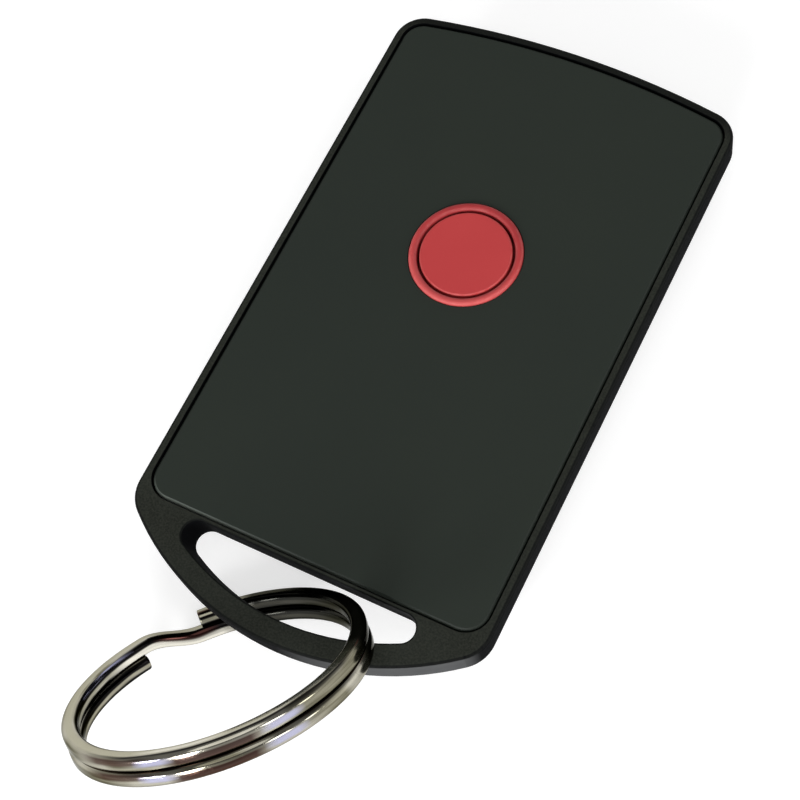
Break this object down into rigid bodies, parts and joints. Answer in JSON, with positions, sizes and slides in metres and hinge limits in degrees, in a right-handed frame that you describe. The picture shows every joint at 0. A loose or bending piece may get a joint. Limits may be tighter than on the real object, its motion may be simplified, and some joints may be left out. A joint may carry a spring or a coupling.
{
  "type": "remote control fob",
  "caption": "Slim one-button remote control fob with a flush face plate, a red push button and a split ring through the slot in its lower end.",
  "frame": {"origin": "middle of the flat back face", "axes": "+Z out of the front face, +Y towards the top end, away from the split ring, +X to the right seen from the front"},
  "size_m": [0.0368, 0.0844, 0.0222],
  "materials": {
    "front_shell": "fine texture",
    "rear_shell": "fine texture",
    "face_plate": "matte, faintly green-grey",
    "adhesive_sheet": "matte",
    "button_ring": "satin",
    "button_cap": "satin",
    "switch_base": "matte",
    "switch_cover": "satin",
    "switch_plunger": "matte",
    "switch_dome": "satin",
    "switch_terminals": "tinned",
    "circuit_board": "satin",
    "encoder_chip": "matte",
    "resonator_can": "satin",
    "output_transistor": "matte",
    "tuning_trimmer": "matte",
    "resistors": "satin",
    "capacitors": "satin",
    "antenna_loop": "bright wire",
    "coin_cell": "satin",
    "battery_clip": "satin",
    "battery_contact": "satin",
    "case_screws": "satin",
    "split_ring": "nickel plated"
  },
  "bodies": {
    "fob": {"front_shell": "front_shell", "rear_shell": "rear_shell", "face_plate": "face_plate", "adhesive_sheet": "adhesive_sheet", "button_ring": "button_ring", "switch_base": "switch_base", "switch_cover": "switch_cover", "switch_dome": "switch_dome", "switch_terminals": "switch_terminals", "circuit_board": "circuit_board", "encoder_chip": "encoder_chip", "resonator_can": "resonator_can", "output_transistor": "output_transistor", "tuning_trimmer": "tuning_trimmer", "resistors": "resistors", "capacitors": "capacitors", "antenna_loop": "antenna_loop", "coin_cell": "coin_cell", "battery_clip": "battery_clip", "battery_contact": "battery_contact", "case_screws": "case_screws"},
    "button": {"button_cap": "button_cap"},
    "plunger": {"switch_plunger": "switch_plunger"},
    "ring": {"split_ring": "split_ring"}
  },
  "joints": [
    {"name": "button_press", "type": "slide", "parent": "fob", "child": "button", "axis": [0, 0, -1], "range_m": [0, 0.0003], "stiffness_N_per_m": 5000},
    {"name": "plunger_press", "type": "slide", "parent": "fob", "child": "plunger", "axis": [0, 0, -1], "range_m": [0, 0.0003], "deforming": ["switch_dome"]},
    {"name": "ring_swing", "type": "hinge", "parent": "fob", "child": "ring", "pos_m": [0.0106, -0.0308, 0.0085], "axis": [0.9637, -0.106, 0.2449], "range_deg": [-46, 0]}
  ],
  "couplings": [
    {"joint": "plunger_press", "follows": "button_press", "ratio": 1}
  ]
}
